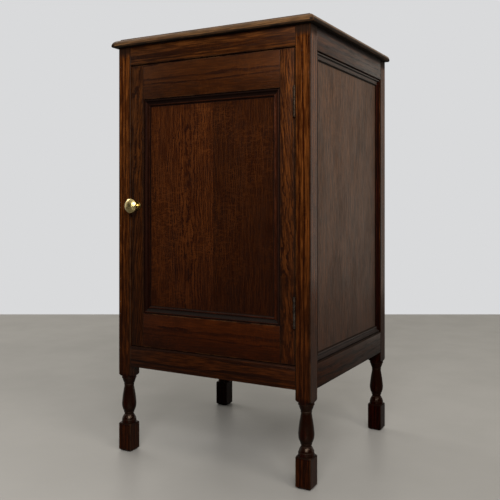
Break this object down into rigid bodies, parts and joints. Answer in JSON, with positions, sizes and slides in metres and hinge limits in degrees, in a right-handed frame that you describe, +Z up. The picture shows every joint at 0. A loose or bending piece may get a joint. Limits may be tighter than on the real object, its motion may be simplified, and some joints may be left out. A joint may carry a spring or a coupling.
{
  "type": "record cabinet",
  "caption": "Small oak record cabinet on turned legs, with panelled sides, a hinged panelled door, a brass turn knob and divided shelves for discs stood on edge.",
  "frame": {"origin": "middle of the whole outline, knob included, on the floor", "axes": "+Z up, -Y out of the door, +X to the right of someone facing the door"},
  "size_m": [0.422, 0.4074, 0.787],
  "materials": {
    "dark_oak": "dark stained oak, satin polish",
    "inner_oak": "thinly stained, unpolished",
    "brass": "polished brass, lightly worn",
    "steel": "dull steel"
  },
  "bodies": {
    "carcass": {"back_panel": "inner_oak", "back_panel_screws": "steel", "bottom_board": "inner_oak", "door_stop": "inner_oak", "front_bottom_rail": "dark_oak", "front_left_post": "dark_oak", "front_right_post": "dark_oak", "front_top_rail": "dark_oak", "glue_block_screws": "steel", "glue_blocks": "inner_oak", "hinge_post_screws": "steel", "left_bottom_bearer": "inner_oak", "left_shelf_bearer": "inner_oak", "left_side_bottom_rail": "dark_oak", "left_side_moulding_bottom": "dark_oak", "left_side_moulding_front": "dark_oak", "left_side_moulding_rear": "dark_oak", "left_side_moulding_top": "dark_oak", "left_side_panel": "dark_oak", "left_side_top_rail": "dark_oak", "lower_dividers": "inner_oak", "lower_hinge_pin": "steel", "lower_hinge_post_leaf": "steel", "rear_bottom_rail": "inner_oak", "rear_left_post": "dark_oak", "rear_right_post": "dark_oak", "rear_top_rail": "inner_oak", "right_bottom_bearer": "inner_oak", "right_shelf_bearer": "inner_oak", "right_side_bottom_rail": "dark_oak", "right_side_moulding_bottom": "dark_oak", "right_side_moulding_front": "dark_oak", "right_side_moulding_rear": "dark_oak", "right_side_moulding_top": "dark_oak", "right_side_panel": "dark_oak", "right_side_top_rail": "dark_oak", "shelf": "inner_oak", "top_board": "dark_oak", "upper_dividers": "inner_oak", "upper_hinge_pin": "steel", "upper_hinge_post_leaf": "steel"},
    "door": {"door_bottom_rail": "dark_oak", "door_hinge_stile": "dark_oak", "door_lock_stile": "dark_oak", "door_moulding_bottom": "dark_oak", "door_moulding_hinge_side": "dark_oak", "door_moulding_lock_side": "dark_oak", "door_moulding_top": "dark_oak", "door_panel": "dark_oak", "door_top_rail": "dark_oak", "knob_rosette": "brass", "lower_hinge_door_leaf": "steel", "upper_hinge_door_leaf": "steel", "hinge_door_screws": "steel"},
    "latch": {"knob": "brass", "knob_spindle": "brass", "latch_spacer": "brass", "latch_tongue": "brass", "latch_nut": "brass"}
  },
  "joints": [
    {"name": "door_swing", "type": "hinge", "parent": "carcass", "child": "door", "pos_m": [0.17225, -0.17905, 0.46875], "axis": [0, 0, 1], "range_deg": [0, 170]},
    {"name": "knob_turn", "type": "hinge", "parent": "door", "child": "latch", "pos_m": [-0.1575, -0.17575, 0.46875], "axis": [0, 1, 0], "range_deg": [0, 90]}
  ]
}
